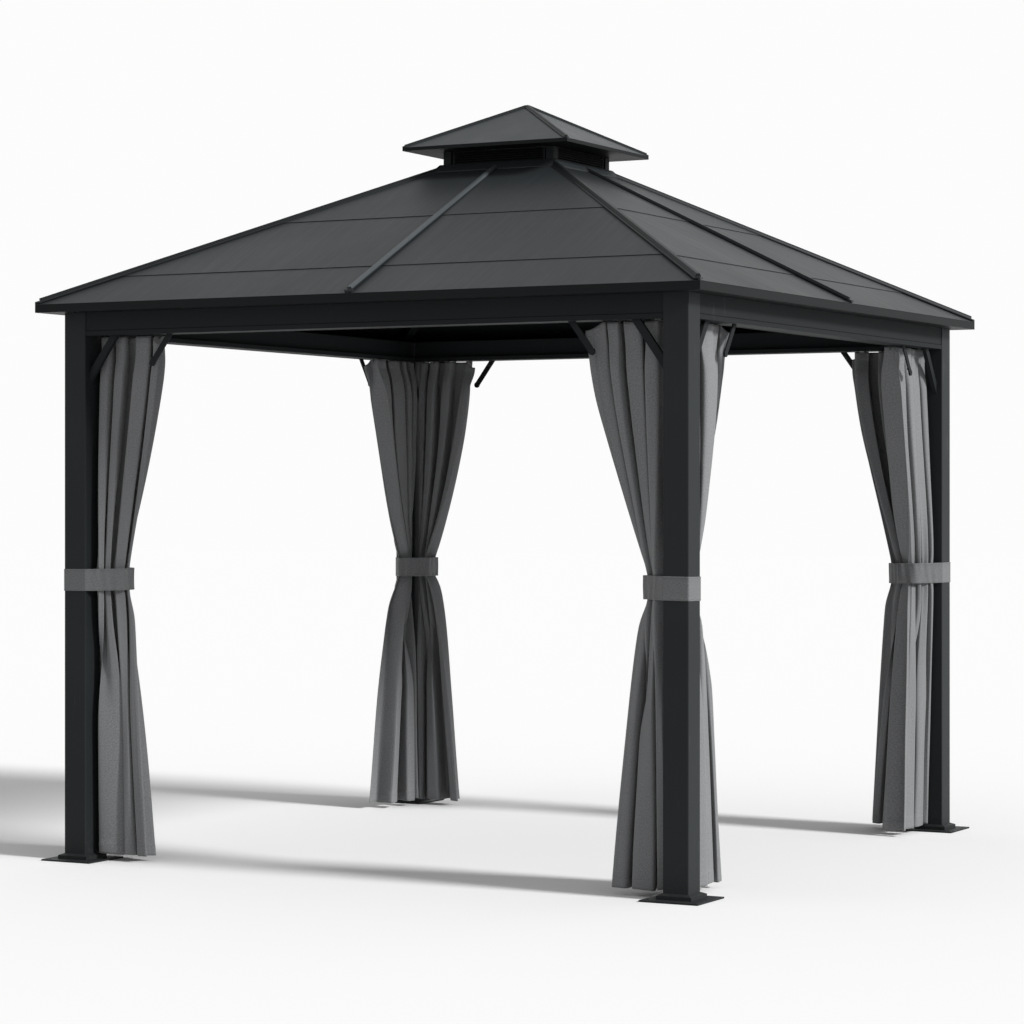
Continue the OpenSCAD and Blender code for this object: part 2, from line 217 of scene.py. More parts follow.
def roof_paint(name, level, slopes):
    """Painted sheet with faint ripples, and the streaks that rain leaves.

    slopes scales the streaks' noise along X, Y and Z, and they run where it is small.
    """
    coat = Finish(name, Specular_IOR_Level=0.10)
    streak = coat.noise(1.0, 4.0, coat.stretched(coat.place, slopes))
    cloud = coat.noise(1.3, 3.0)
    ripple = coat.noise(2.6, 2.0)
    speck = coat.noise(330.0, 2.0)
    blot = coat.noise(24.0, 4.0)
    tone = coat.mix(cloud.rise(0.25, 0.75), grey(level * 0.93, COOL), grey(level * 1.07, COOL))
    tone = coat.mix(streak.rise(0.45, 0.75) * 0.35, tone, grey(level * 1.30, COOL))
    tone = coat.mix(blot.rise(0.55, 0.80) * 0.25, tone, grey(level * 0.75, COOL))
    tone = coat.mix(speck.rise(0.52, 0.72) * 0.5, tone, grey(level * 1.35, COOL))
    coat.feed(Base_Color=tone, Roughness=0.46 + (streak - 0.5) * 0.16 + (cloud - 0.5) * 0.16)
    coat.bump(ripple * 6.0 + speck * 0.10, 0.35, 0.0016)
    return coat.material


ALONG_X, ALONG_Y, EVERY_WAY = (3, 55, 3), (55, 3, 3), (9, 9, 9)
# The rafters and rails under the roof get the same darker coat, painted shade of the roof over them.
paint(frame_coat, "rafters", "lap_rails", "top_rafters")
paint(powder_coat("fascia_paint", 0.007), "fascia", "top_fascia")
# Painted light and shade: the same sheets are painted lighter on the front and back slopes and darker on the
# right and left slopes, which the lamp lights more.
paint(roof_paint("roof_paint_across_painted_light", 0.025, ALONG_Y), "roof_front", "roof_back")
paint(roof_paint("roof_paint_along_painted_shade", 0.018, ALONG_X), "roof_right", "roof_left")
paint(powder_coat("cap_paint", 0.022, 0.42), "roof_caps")

# ---- Lantern ----
# A square vent box of the same coated aluminium, with a dark slatted louvre in each side, carries the
# small top roof clear of the main one.

paint(powder_coat("lantern_powder_coat", 0.014), "lantern_frame")
paint(powder_coat("louvre_paint", 0.008), "lantern_louvres")
paint(roof_paint("top_roof_paint", 0.039, EVERY_WAY), "top_roof")

# ---- Cover strips and flashing ----
# Folded aluminium strips snap over the caps of both roofs and stand up from them, and a folded flashing
# closes the gap between the lantern's curb and the sheets of the main roof.

ROOF_HALF, ROOF_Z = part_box("fascia")[1][0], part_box("fascia")[1][2]
TOP_HALF, TOP_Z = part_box("top_fascia")[1][0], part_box("top_fascia")[1][2]
ROOF_PITCH, TOP_PITCH = radians(26.2), radians(26.5)
CAP_TOP, TOP_CAP_TOP = 0.0097, 0.0046
CURB_HALF, CURB_TOP = 0.275, 2.9167
STRIP_END = CURB_HALF + 0.004
TOP_STRIP_END = 0.003
SHARP = radians(35)


def new_piece(name, vertices, faces, material):
    """A smooth mesh piece of the object, given in the frame's own coordinates."""
    mesh = bpy.data.meshes.new(name)
    mesh.from_pydata(np.asarray(vertices, float).tolist(), [], [tuple(map(int, f)) for f in faces])
    mesh.update()
    mesh.materials.append(material)
    mesh.shade_smooth()
    piece = bpy.data.objects.new(name, mesh)
    bpy.context.scene.collection.objects.link(piece)
    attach(piece, "root")
    return piece


class Batch:
    """Like parts, gathered into one mesh."""

    def __init__(self):
        self.vertices = []
        self.faces = []

    def piece(self, name, material, slot):
        made = new_piece(name, self.vertices, self.faces, material)
        made.data.set_sharp_from_angle(angle=SHARP)
        return made


class Lengths(Batch):
    """Straight folded lengths."""

    def draw(self, base, along, out, section, start, end):
        """A length from start to end along a line. section lists places across it and out of it."""
        across = out.cross(along)
        first, n = len(self.vertices), len(section)
        for reach in (start, end):
            self.vertices += [base + along * reach + across * side + out * up for side, up in section]
        for k in range(n):
            after = (k + 1) % n
            self.faces.append((first + k, first + after, first + n + after, first + n + k))
        self.faces.append(tuple(first + k for k in reversed(range(n))))
        self.faces.append(tuple(first + n + k for k in range(n)))


# Each strip: its half widths at the base and the top, and the heights of its underside and its top.
HIP_STRIP = (0.013, 0.006, CAP_TOP, CAP_TOP + 0.011)
TOP_HIP_STRIP = (0.009, 0.004, TOP_CAP_TOP, TOP_CAP_TOP + 0.006)
RIB_STRIP = (0.0115, 0.0075, CAP_TOP, CAP_TOP + 0.011)
# How far up its slope from the eave each strip starts.
HIP_START, TOP_HIP_START, RIB_START = 0.026, 0.014, 0.021
STRIP_EDGE = 0.002
STRIP_BEVEL = (0.001, 0.0015)


def strip_section(base, top, low, high, fall):
    """A ridge with bevelled shoulders. fall is how fast the cap's wings drop to each side."""
    foot = low - fall * base
    shoulder, below = top + STRIP_BEVEL[0], high - STRIP_BEVEL[1]
    return (
        (-base, foot), (0, low), (base, foot),
        (base, foot + STRIP_EDGE), (shoulder, below), (top, high),
        (-top, high), (-shoulder, below), (-base, foot + STRIP_EDGE),
    )


def hip_strips(strips, half, z, pitch, sizes, start, inner):
    """One strip up each hip, from start to where it meets a square of half width inner."""
    rise = atan(tan(pitch) / sqrt(2))
    section = strip_section(*sizes, sin(rise))
    for sx, sy in CORNERS.values():
        level = Vector((-sx, -sy, 0)).normalized()
        along = level * cos(rise) + Vector((0, 0, sin(rise)))
        out = Vector((0, 0, cos(rise))) - level * sin(rise)
        end = (half - inner) * sqrt(2) / cos(rise)
        strips.draw(Vector((sx * half, sy * half, z)), along, out, section, start, end)


cover_strips, rib_strips_painted_highlight = Lengths(), Lengths()
hip_strips(cover_strips, ROOF_HALF, ROOF_Z, ROOF_PITCH, HIP_STRIP, HIP_START, STRIP_END)
hip_strips(cover_strips, TOP_HALF, TOP_Z, TOP_PITCH, TOP_HIP_STRIP, TOP_HIP_START, TOP_STRIP_END)
for k in range(4):
    side_turn = Matrix.Rotation(k * pi / 2, 3, "Z")
    # The strips on the front and back ribs go into a mesh of their own, which gets the painted highlight.
    strips = cover_strips if k % 2 else rib_strips_painted_highlight
    strips.draw(
        side_turn @ Vector((0, -ROOF_HALF, ROOF_Z)),
        side_turn @ Vector((0, cos(ROOF_PITCH), sin(ROOF_PITCH))),
        side_turn @ Vector((0, -sin(ROOF_PITCH), cos(ROOF_PITCH))),
        strip_section(*RIB_STRIP, 0),
        RIB_START,
        (ROOF_HALF - STRIP_END) / cos(ROOF_PITCH),
    )
cover_strips.piece("cover_strips", powder_coat("strip_paint", 0.015, 0.42), "trim_coat")
# Painted highlight: the front and back rib strips get a much lighter copy of the strip paint, standing in for
# the lamp's light on them.
rib_strips_painted_highlight.piece("rib_strips_painted_highlight", powder_coat("rib_strip_painted_highlight", 0.065, 0.42), "trim_coat")

FLASHING_T = 0.0012
FLASHING_IN, FLASHING_OUT = CURB_HALF - 0.0095, 0.303
FLASHING_Z = CURB_TOP + 0.0003
FLASHING_LIP = ROOF_Z + (ROOF_HALF - FLASHING_OUT) * tan(ROOF_PITCH) + 0.0062
flashing = (
    (FLASHING_IN, FLASHING_Z),
    (CURB_HALF + 0.0008, FLASHING_Z),
    (FLASHING_OUT - FLASHING_T, FLASHING_LIP + 0.0058),
    (FLASHING_OUT - FLASHING_T, FLASHING_LIP),
    (FLASHING_OUT, FLASHING_LIP),
    (FLASHING_OUT, FLASHING_LIP + 0.0066),
    (CURB_HALF + 0.0014, FLASHING_Z + FLASHING_T),
    (FLASHING_IN, FLASHING_Z + FLASHING_T),
)
n = len(flashing)
new_piece(
    "lantern_flashing",
    [(sx * reach, sy * reach, z) for sx, sy in CORNERS.values() for reach, z in flashing],
    [
        (c * n + k, (c + 1) % 4 * n + k, (c + 1) % 4 * n + (k + 1) % n, c * n + (k + 1) % n)
        for c in range(4) for k in range(n)
    ],
    powder_coat("flashing_paint", 0.026, 0.42),
).data.shade_flat()

# ---- Eave seals ----
# Black rubber strips, pressed on behind the top edge of the fascia, close the slit below the roof sheets.
# Each runs from a middle rafter to a hip rafter.

SEAL_NEAR, SEAL_FAR = 0.0032, 0.0100
SEAL_DEPTH, SHEET_SEAT = 0.0080, 0.0002
SEAL_START, HIP_ROOM = 0.0210, 0.0293
SEAL_END = ROOF_HALF - SEAL_FAR - HIP_ROOM


def seal_top(depth):
    """Height over the fascia's top edge, just below the sheet, at a distance in from the fascia's face."""
    return SHEET_SEAT + depth * tan(ROOF_PITCH)


seal_section = (
    (SEAL_NEAR, -SEAL_DEPTH),
    (SEAL_FAR, -SEAL_DEPTH),
    (SEAL_FAR, seal_top(SEAL_FAR)),
    (SEAL_NEAR, seal_top(SEAL_NEAR)),
)
seals = Lengths()
for k in range(4):
    side_turn = Matrix.Rotation(k * pi / 2, 3, "Z")
    for start, end in ((SEAL_START, SEAL_END), (-SEAL_END, -SEAL_START)):
        seals.draw(
            side_turn @ Vector((0, -ROOF_HALF, ROOF_Z)),
            side_turn @ Vector((1, 0, 0)),
            Vector((0, 0, 1)),
            seal_section,
            start,
            end,
        )
seals.piece("eave_seals", powder_coat("black_rubber", 0.006, 0.7), "louvre_coat")

# ---- Curtain gliders and hooks ----
# Black nylon carriers that slide in the channel of each track. Each has a round plate under the slot,
# and a ring with an open hook that goes through the curtain's heading tape.

# Places at a corner are measured inward from the outer faces of its post.
TRACK_Z = 2.1605
POST_FACE = 1.414
SLOT_LINE = 0.098
CARRIER = ((0.0065, -0.0022), (0.0065, -0.0006), (0.0028, -0.0003), (0.0028, 0.013))
CARRIER_PIN = ((0.0018, -0.0046), (0.0022, -0.0020))
RING_DROP, RING_WIRE = 0.0083, 0.0011
HOOK_DROP, HOOK_WIRE = 0.0150, 0.0009
LOOP_R = 0.0040


class Turnings(Batch):
    """Small parts with a round or six-sided section."""

    def turn(self, place, profile, sides=20):
        """profile lists (radius, height) from one end to the other, along the local Z of place."""
        base = len(self.vertices)
        angles = np.arange(sides) * 2 * pi / sides
        for radius, height in profile:
            for angle in angles:
                self.vertices.append(place @ Vector((radius * cos(angle), radius * sin(angle), height)))
        for ring in range(len(profile) - 1):
            for k in range(sides):
                here, there = base + ring * sides, base + (ring + 1) * sides
                self.faces.append((here + k, here + (k + 1) % sides, there + (k + 1) % sides, there + k))
        self.faces.append(tuple(base + k for k in reversed(range(sides))))
        last = base + (len(profile) - 1) * sides
        self.faces.append(tuple(last + k for k in range(sides)))

    def loop(self, place, radius, wire, arc=2 * pi, steps=16, sides=8):
        """A wire bent round an arc in the local X-Z plane of place."""
        base = len(self.vertices)
        closed = arc > 2 * pi - 0.01
        rings = steps if closed else steps + 1
        for i in range(rings):
            turn = arc * i / steps
            for k in range(sides):
                angle = 2 * pi * k / sides
                reach = radius + wire * cos(angle)
                spot = Vector((reach * cos(turn), wire * sin(angle), reach * sin(turn)))
                self.vertices.append(place @ spot)
        for i in range(steps if closed else rings - 1):
            for k in range(sides):
                here, there = base + i * sides, base + (i + 1) % rings * sides
                self.faces.append((here + k, there + k, there + (k + 1) % sides, here + (k + 1) % sides))
        if not closed:
            self.faces.append(tuple(base + k for k in range(sides)))
            self.faces.append(tuple(base + (rings - 1) * sides + k for k in reversed(range(sides))))


nylon = powder_coat("black_nylon", 0.012, 0.4, 0.3)


def glider(turnings, x, y, turn):
    """One carrier, its ring and its hook, under the slot at x, y."""
    place = Matrix.Translation((x, y, TRACK_Z)) @ Matrix.Rotation(turn, 4, "Z")
    turnings.turn(place, CARRIER)
    turnings.turn(place, CARRIER_PIN, 12)
    turnings.loop(place @ Matrix.Translation((0, 0, -RING_DROP)), LOOP_R, RING_WIRE)
    hook = place @ Matrix.Translation((0, 0, -HOOK_DROP)) @ Matrix.Rotation(pi / 2, 4, "Z")
    turnings.loop(hook @ Matrix.Rotation(radians(-60), 4, "Y"), LOOP_R, HOOK_WIRE, radians(290))


# ---- Curtains ----
# Each panel is one width of woven polyester, 0.90 m wide and 2.13 m long, with doubled hems down both
# sides and along the bottom and a heading tape at the top. It hangs in folds and is tied to its post.

CLOTH_W, CLOTH_L, CLOTH_T = 0.90, 2.13, 0.0008
CLOTH_TOP, HEM_Z = 2.1570, 0.0335
BAND_LOW, BAND_W = 1.110, 0.094
BAND_HIGH = BAND_LOW + BAND_W
SIDE_HEM, LOW_HEM, HEADING = 0.024, 0.042, 0.030
DROP = CLOTH_TOP - HEM_Z
LOW_SEAM = DROP - LOW_HEM
SEAM_STEP = 0.0012
CLOTH_TINT = (-0.02, 0.0, 0.025)
YARN = 0.0011
STITCH, STITCH_IN = 0.0034, 0.003
THREAD = (0.0004, 0.0011)


def woven(finish, level, seams):
    """Heathered yarns in both directions, on the cloth's own coordinates in metres, with lines of stitches.

    seams lists the places of the lines that run down the cloth, and of those that run across it.
    """
    at = finish.node("ShaderNodeAttribute", {"attribute_name": "cloth"}, output=1)
    across, down = finish.part(at, 0), finish.part(at, 1)
    weft = finish.noise(1.0, 2.0, finish.stretched(at, (110, 900, 1)))
    warp = finish.noise(1.0, 2.0, finish.stretched(at, (900, 110, 1)))
    heather = finish.node("ShaderNodeTexNoise", None, at, None, 170.0, 6.0, 0.78)
    cloud = finish.noise(6.0, 3.0, at)
    yarn = (weft + warp) * 0.5
    thread = 0.5 + 0.25 * ((across * 2 * pi / YARN).sine() + (down * 2 * pi / YARN).sine())
    darkest, dark, light, lighter, lightest = (
        grey(level * share, CLOTH_TINT) for share in (0.55, 0.62, 1.12, 1.34, 1.42)
    )
    tone = finish.mix(yarn.rise(0.36, 0.64), dark, lighter)
    tone = finish.mix(0.62, tone, finish.mix(heather.rise(0.34, 0.66), darkest, lightest))
    tone = finish.mix(cloud.rise(0.3, 0.7) * 0.25, tone, light)
    stitches = []
    for off, along, places in ((across, down, seams[0]), (down, across, seams[1])):
        dash = (along * 2 * pi / STITCH).sine().rise(-0.75, -0.35)
        stitches += [(1.0 - abs(off - place).rise(*THREAD)) * dash for place in places]
    line = sum(stitches)
    tone = finish.mix(line * 0.45, tone, grey(level * 0.45, CLOTH_TINT))
    finish.feed(Base_Color=tone)
    finish.bump(thread * 0.25 + yarn * 0.6 + heather * 0.9 - line * 1.2, 0.55, 0.0009)
    return finish.material


cloth = woven(
    Finish("curtain_polyester", Roughness=0.92, Sheen_Weight=0.22, Sheen_Roughness=0.45),
    0.180,
    (
        (SIDE_HEM - STITCH_IN, CLOTH_W - SIDE_HEM + STITCH_IN),
        (0.004, HEADING - 0.004, LOW_SEAM + STITCH_IN),
    ),
)


def soft_max(x, low, ease):
    return 0.5 * (x + low + np.sqrt((x - low) ** 2 + ease**2))


def smooth(x, low, high):
    t = np.clip((x - low) / (high - low), 0, 1)
    return t * t * (3 - 2 * t)


def fold_phase(u, z, folds, first, rng):
    """How far round its folds the cloth has gone, at each place across it. Folds differ in width."""
    fine = np.linspace(0, 1, 801)
    density = (
        1
        + 0.34 * np.sin(2 * pi * (rng.uniform(0.8, 1.2) * fine + rng.uniform(0, 1)))
        + 0.24 * np.sin(2 * pi * (rng.uniform(1.8, 2.6) * fine + rng.uniform(0, 1)))
    )
    density *= 1 - 0.35 * smooth(fine, 0.78, 0.95)
    turned = np.concatenate([[0], np.cumsum((density[1:] + density[:-1]) / 2)])
    drift = 0.45 * np.sin(2 * pi * (0.8 * u + rng.uniform(0, 1)) + 1.6 * z) * 4 * u * (1 - u)
    return first + 2 * pi * folds * np.interp(u, fine, turned / turned[-1]) + drift


def wave(u, z, rng, scale, rise):
    """A slow, uneven change across the cloth that leans as it goes down."""
    turns = u * rng.uniform(0.7, 1.3) * scale + rng.uniform(0, 1)
    return np.sin(2 * pi * turns + rise * z * rng.uniform(-1, 1))


WIDEST_FOLD = 0.16


def folded(line, phase, depth, look, rng):
    """Lay broad folds that overhang a little on each side of a line."""
    u, z, extra = look
    along = np.gradient(line, axis=1)
    run = np.sqrt((along**2).sum(0)) + 1e-9
    along = along / run
    out = np.stack([along[1], -along[0]])
    pitch = np.minimum(2 * pi * run / np.maximum(np.gradient(phase, axis=0), 1e-4), WIDEST_FOLD)
    crest = np.cos(phase) - 0.12 * np.cos(3 * phase)
    broad = 1.25 + 0.35 * wave(u, z, rng, 1.6, 1.0)
    lean = 0.5 * wave(u, z, rng, 1.2, 1.5)
    sway = pitch / (2 * pi) * (0.35 * np.sin(phase) + broad * np.sin(2 * phase) + lean * np.cos(phase))
    return line + out * (depth * (1 + 0.20 * wave(u, z, rng, 2.0, 1.0)) * crest + extra) + along * sway


# Lines of the cloth. Along the track it reaches GATHER_FROM plus its row's gather, and it moves in by
# TRACK_OUT below its heading. At the band and the hem it starts at WAIST_START and FOOT_START.
GATHER_FROM, TRACK_OUT = 0.103, 0.013
WAIST_START, WAIST_W, WAIST_LINE = 0.119, 0.086, 0.052
FOOT_START, FOOT_SHORT, FOOT_LINE = 0.118, 0.010, 0.114
# Half the depth of the folds at the track, and above, below and inside the band.
TOP_DEPTH, UPPER_DEPTH, LOWER_DEPTH, TIED_DEPTH = 0.029, 0.050, 0.054, 0.0385
# The nearest the cloth comes to the post, and the least room between the two panels of a corner.
POST_SIDE, PANEL_ROOM = 0.1075, 0.0030
# The sides of the space inside the band: a direction, and how far the side lies that way. Past the band
# the space widens at these slopes, and below it the folds merge into fewer.
BAND_SIDES = ((0.577, -0.817, 0.0605), (1.0, 0.0, 0.2230), (0.7071, 0.7071, 0.2814))
SPREAD_ABOVE, SPREAD_BELOW = 0.30, 0.42
MERGE_LOW, MERGE_HIGH = BAND_LOW - 0.55, BAND_LOW - 0.02


def curtain_surface(u, z, look, rng):
    """Places across (u) and down (z) one panel, in its corner's own directions."""
    start, gather, foot_w, folds, low_folds, first, late, soon, tuck = look
    band_z = (BAND_LOW + BAND_HIGH) / 2
    above = z > band_z
    fall = np.clip((CLOTH_TOP - z) / (CLOTH_TOP - BAND_HIGH), 0, 1)
    spread = np.clip((BAND_LOW - z) / (BAND_LOW - HEM_Z), 0, 1)
    tied = np.where(above, fall**late, 1 - spread**soon)
    top_line = SLOT_LINE + TRACK_OUT * smooth(fall, 0, 0.12)
    top = np.stack([start + (GATHER_FROM + gather - start) * u, top_line])
    foot_line = FOOT_LINE + 0.008 * wave(u, z, rng, 1.0, 0.5)
    foot = np.stack([FOOT_START + (foot_w - FOOT_SHORT) * u, foot_line])
    waist = np.stack([WAIST_START + WAIST_W * u, WAIST_LINE + tuck * u])
    line = np.where(above, top, foot) * (1 - tied) + waist * tied
    upper_depth = TOP_DEPTH + (UPPER_DEPTH - TOP_DEPTH) * smooth(fall, 0, 0.20)
    depth = np.where(above, upper_depth, LOWER_DEPTH) * (1 - tied) + TIED_DEPTH * tied
    heading = (1 - smooth(fall, 0.02, 0.24)) * above
    pinch = 0.0060 * heading * np.sin(2 * pi * folds * 3 * u + rng.uniform(0, 6))
    crease = 0.0030 * smooth(tied, 0.45, 1.0) * np.sin(2 * pi * folds * 3.3 * u + rng.uniform(0, 6))
    ripple = sum(
        rng.uniform(0.0005, 0.0013) * np.sin(2 * pi * (u * rng.uniform(1.5, 7) + z * rng.uniform(-1.5, 1.5)))
        for k in range(6)
    )
    flop = smooth(u, 0.93, 1.0) * (1 - smooth(CLOTH_TOP - z, 0.0, 0.16))
    extra = pinch + crease + ripple + 0.012 * flop
    phase = fold_phase(u, z, folds, first, rng)
    many = folded(line, phase, depth, (u, z, extra), rng)
    few = folded(line, fold_phase(u, z, low_folds, first, rng), depth, (u, z, extra), rng)
    merged = 1 - smooth(z, MERGE_LOW, MERGE_HIGH)
    a, b = many * (1 - merged) + few * merged
    a = soft_max(a, POST_SIDE, 0.005)
    gap = a - b
    push = (soft_max(gap, PANEL_ROOM, 0.004) - gap) / 2
    a, b = a + push, b - push
    past_band = soft_max(np.abs(z - band_z) - (BAND_HIGH - BAND_LOW) / 2, 0.0, 0.010) - 0.001
    for across, behind, reach in BAND_SIDES:
        past = across * a + behind * b - reach - np.where(above, SPREAD_ABOVE, SPREAD_BELOW) * past_band
        inside = -soft_max(-past, 0.0025, 0.006) - past
        a, b = a + inside * across, b + inside * behind
    return a, b, phase, flop


def spaced(marks, counts):
    """Rows that fall on every mark, with so many steps between each pair."""
    rows = [np.linspace(low, high, n, endpoint=False) for low, high, n in zip(marks, marks[1:], counts)]
    return np.concatenate([*rows, marks[-1:]])


def at_corner(corner, a, b, z):
    """Places in the frame, from distances inward from the outer faces of a corner's post."""
    sx, sy = CORNERS[corner]
    return np.stack([sx * (POST_FACE - a), sy * (POST_FACE - b), z], axis=-1)


def lay_out(piece, flat):
    """Keep each vertex's place on the flat cloth, in metres, for the weave."""
    cut = piece.data.attributes.new("cloth", "FLOAT_VECTOR", "POINT")
    cut.data.foreach_set("vector", np.asarray(flat, np.float32).ravel())


def hung_panel(name, corner, turned, look, seed):
    """One panel of a corner, and the carriers that it hangs from. turned puts it on the side track."""
    rng = np.random.default_rng(seed)
    hem, step = SIDE_HEM / CLOTH_W, SEAM_STEP / CLOTH_W
    across = spaced([0, hem, hem + step, 1 - hem - step, 1 - hem, 1], [3, 1, 150, 1, 3])
    down = spaced(
        [0, HEADING, HEADING + SEAM_STEP, 0.20, CLOTH_TOP - BAND_HIGH, CLOTH_TOP - BAND_LOW,
         LOW_SEAM - SEAM_STEP, LOW_SEAM, DROP],
        [3, 1, 12, 38, 6, 42, 1, 4],
    )
    u, v = np.meshgrid(across, down, indexing="ij")
    a, b, phase, flop = curtain_surface(u, CLOTH_TOP - v, look, rng)
    droop = 0.0014 * (1 + np.cos(2 * phase)) * (1 - smooth(v, 0, 0.20)) + 0.030 * flop
    # Past the base plate the hem hangs a little lower.
    clear = smooth(v, 1.6, DROP) * smooth(a, 0.128, 0.150)
    z = CLOTH_TOP - v - droop - clear * (0.0070 + 0.0025 * np.sin(2 * pi * u * 2.3 + seed))
    place = at_corner(corner, b, a, z) if turned else at_corner(corner, a, b, z)
    side = np.cross(np.gradient(place, axis=0), np.gradient(place, axis=1))
    side /= np.linalg.norm(side, axis=-1, keepdims=True) + 1e-12
    doubled = (u <= hem) | (u >= 1 - hem) | (v <= HEADING) | (v >= LOW_SEAM)
    half = np.where(doubled, 1.3, 0.5)[..., None] * CLOTH_T
    sheets = np.concatenate([(place + side * half).reshape(-1, 3), (place - side * half).reshape(-1, 3)])
    shift = u.size
    at = np.arange(shift).reshape(u.shape)
    quads = np.stack([at[:-1, :-1], at[1:, :-1], at[1:, 1:], at[:-1, 1:]], axis=-1).reshape(-1, 4)
    rim = np.concatenate([at[:, 0], at[-1, 1:], at[-2::-1, -1], at[0, -2:0:-1]])
    after = np.roll(rim, -1)
    edge = np.stack([rim, after, after + shift, rim + shift], axis=-1)
    faces = np.concatenate([quads, quads[:, ::-1] + shift, edge[:, ::-1]])
    piece = new_piece(name, sheets, faces, cloth)
    flat = np.stack([u * CLOTH_W, v, 0 * v], axis=-1).reshape(-1, 3)
    lay_out(piece, np.concatenate([flat, flat]))
    hooks = Turnings()
    top_phase = phase[:, 0] / pi - 0.5
    for k in range(ceil(top_phase[0]), int(top_phase[-1]) + 1):
        run = a[int(np.abs(top_phase - k).argmin()), 0]
        x, y, _ = at_corner(corner, SLOT_LINE, run, 0) if turned else at_corner(corner, run, SLOT_LINE, 0)
        glider(hooks, x, y, pi / 2 if turned else 0)
    return piece, hooks


# Each row: the corner, whether the panel hangs on the side track, the seed of its folds, then where it
# starts, how far it is gathered along the track, how wide its hem spreads, its folds above and below the
# tie band, whether the first is a hollow or a crest, how late it draws in to the band, how soon it spreads
# below it, and how far it is tucked in behind the band.
PANELS = (
    ("front_left", False, 21, (0.126, 0.345, 0.270, 3.5, 2.5, pi, 1.30, 0.72, 0.125)),
    ("front_right", False, 22, (0.126, 0.345, 0.222, 3.5, 2.5, pi, 1.55, 0.72, 0.095)),
    ("back_right", False, 23, (0.135, 0.345, 0.232, 3.5, 2.5, pi, 1.45, 0.72, 0.125)),
    ("back_left", False, 24, (0.122, 0.345, 0.268, 3.5, 2.5, 0, 1.60, 0.60, 0.045)),
    ("front_left", True, 25, (0.122, 0.440, 0.330, 4.0, 3.0, 0, 1.45, 0.72, 0.095)),
    ("front_right", True, 26, (0.118, 0.415, 0.360, 3.5, 2.5, pi, 3.20, 0.50, 0.050)),
    ("back_right", True, 27, (0.135, 0.450, 0.320, 4.0, 3.0, 0, 1.45, 0.72, 0.095)),
    ("back_left", True, 28, (0.122, 0.430, 0.345, 4.0, 3.0, 0, 1.60, 0.60, 0.045)),
)
for corner, turned, seed, look in PANELS:
    facing = "side" if turned else corner.split("_")[0]
    name = f"curtain_{corner}_{facing}"
    panel, hooks = hung_panel("cloth_" + name, corner, turned, look, seed)
    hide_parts(name)
    carriers = hooks.piece("gliders_" + name, nylon, "louvre_coat")

# ---- Tie bands ----
# A strap of the same cloth, folded double and sewn along both edges, goes round each post and its two
# curtains. Its ends overlap at the inner side, where a sewn patch of hook tape holds them.

BAND_LAP = 0.055
# The band's way round: corners in from the outer faces of the post, each with the radius of its bend.
BAND_LINE = (
    (-0.0003, -0.0003, 0.003),
    (0.105, -0.0003, 0.008),
    (0.224, 0.084, 0.016),
    (0.224, 0.174, 0.016),
    (0.174, 0.224, 0.016),
    (0.084, 0.224, 0.016),
    (-0.0003, 0.105, 0.008),
)


# Up the band from its middle: the share of its half width, and half of its thickness in metres.
BAND_SECTION = (
    (0.0, 0.00090), (0.5, 0.00085), (0.81, 0.00075), (0.84, 0.00115),
    (0.90, 0.00125), (0.955, 0.00120), (0.985, 0.00085), (1.0, 0.00035),
)
BAND_EDGE = 0.002


def rounded_line(corners, step):
    """Points and outward directions round a closed line with rounded corners."""
    points, outward = [], []
    places = [np.array(c[:2]) for c in corners]
    for i, here in enumerate(places):
        radius = corners[i][2]
        after = (i + 1) % len(places)
        back, on = places[i - 1] - here, places[after] - here
        back, on = back / np.linalg.norm(back), on / np.linalg.norm(on)
        half = np.arccos(np.clip(back @ on, -1, 1)) / 2
        middle = here + (back + on) / np.linalg.norm(back + on) * radius / np.sin(half)
        first, last = np.array([-back[1], back[0]]), np.array([on[1], -on[0]])
        for t in np.linspace(0, 1, max(3, int((pi - 2 * half) * radius / step) + 4)):
            n = first * (1 - t) + last * t
            n = n / np.linalg.norm(n)
            points.append(middle + n * radius)
            outward.append(n)
        end = here + on * radius / np.tan(half)
        ahead, behind = places[(i + 2) % len(places)] - places[after], here - places[after]
        cosine = ahead @ behind / np.linalg.norm(ahead) / np.linalg.norm(behind)
        stop = places[after] - on * corners[after][2] / np.tan(np.arccos(cosine) / 2)
        for t in np.linspace(0, 1, max(2, int(np.linalg.norm(stop - end) / step)))[1:-1]:
            points.append(end + (stop - end) * t)
            outward.append(last)
    return np.array(points), np.array(outward)


